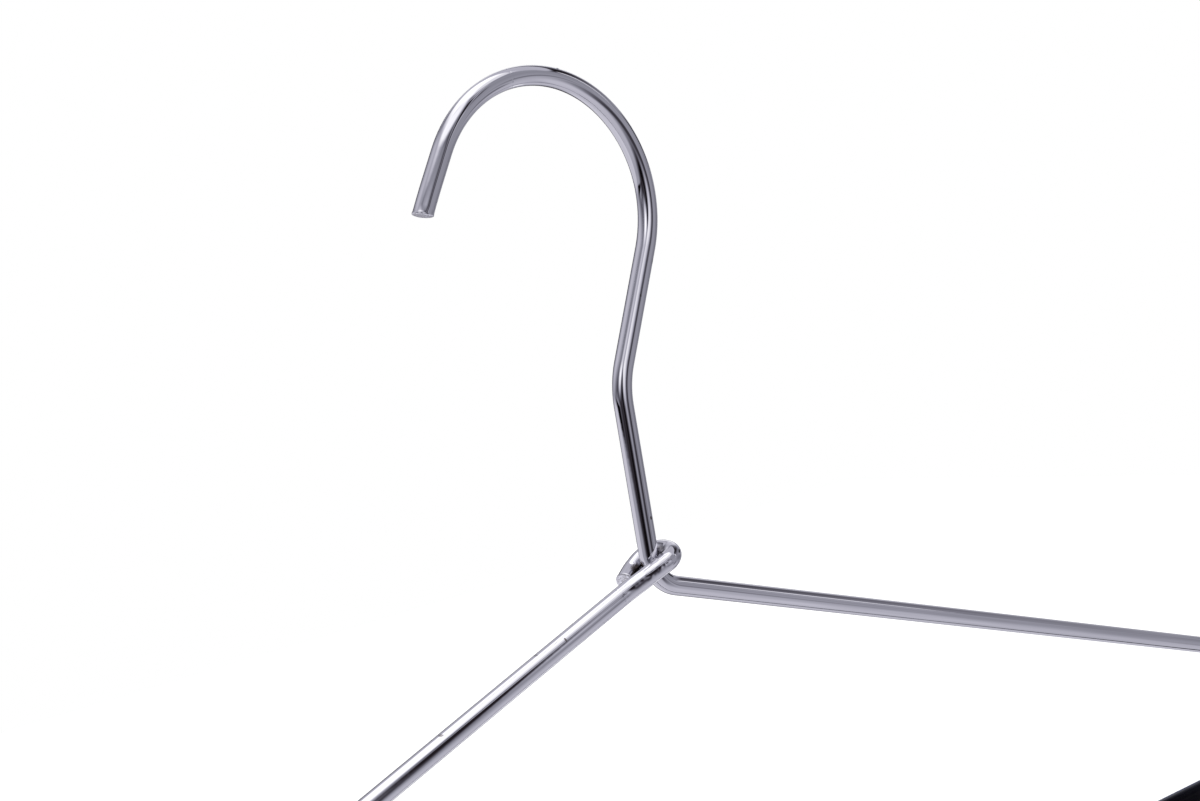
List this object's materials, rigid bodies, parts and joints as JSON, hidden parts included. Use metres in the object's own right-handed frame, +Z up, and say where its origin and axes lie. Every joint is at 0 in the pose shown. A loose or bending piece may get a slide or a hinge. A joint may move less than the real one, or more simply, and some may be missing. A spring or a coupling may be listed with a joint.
{
  "type": "metal shirt hanger",
  "caption": "Bright chrome wire shirt hanger with a round open hook, a closing wrap at the neck and a black tube sleeve that turns on the bottom bar.",
  "frame": {"origin": "seat inside the top of the hook, where the hanger rests on its rail", "axes": "+X along the bottom bar, to the right of a person facing the front, with the hook's mouth towards -X; +Y to the back, away from the arm that crosses in front of the neck; +Z up"},
  "size_m": [0.4321, 0.0127, 0.2023],
  "materials": {
    "bright_chrome": "bright chrome plate on smooth drawn steel wire",
    "black_vinyl": "glossy black vinyl tube"
  },
  "bodies": {
    "wire": {"hanger_wire": "bright_chrome"},
    "sleeve": {"bar_sleeve": "black_vinyl"}
  },
  "joints": [
    {"name": "sleeve_roll", "type": "hinge", "parent": "wire", "child": "sleeve", "pos_m": [0.0112, 0, -0.1951], "axis": [1, 0, 0], "continuous": true}
  ]
}
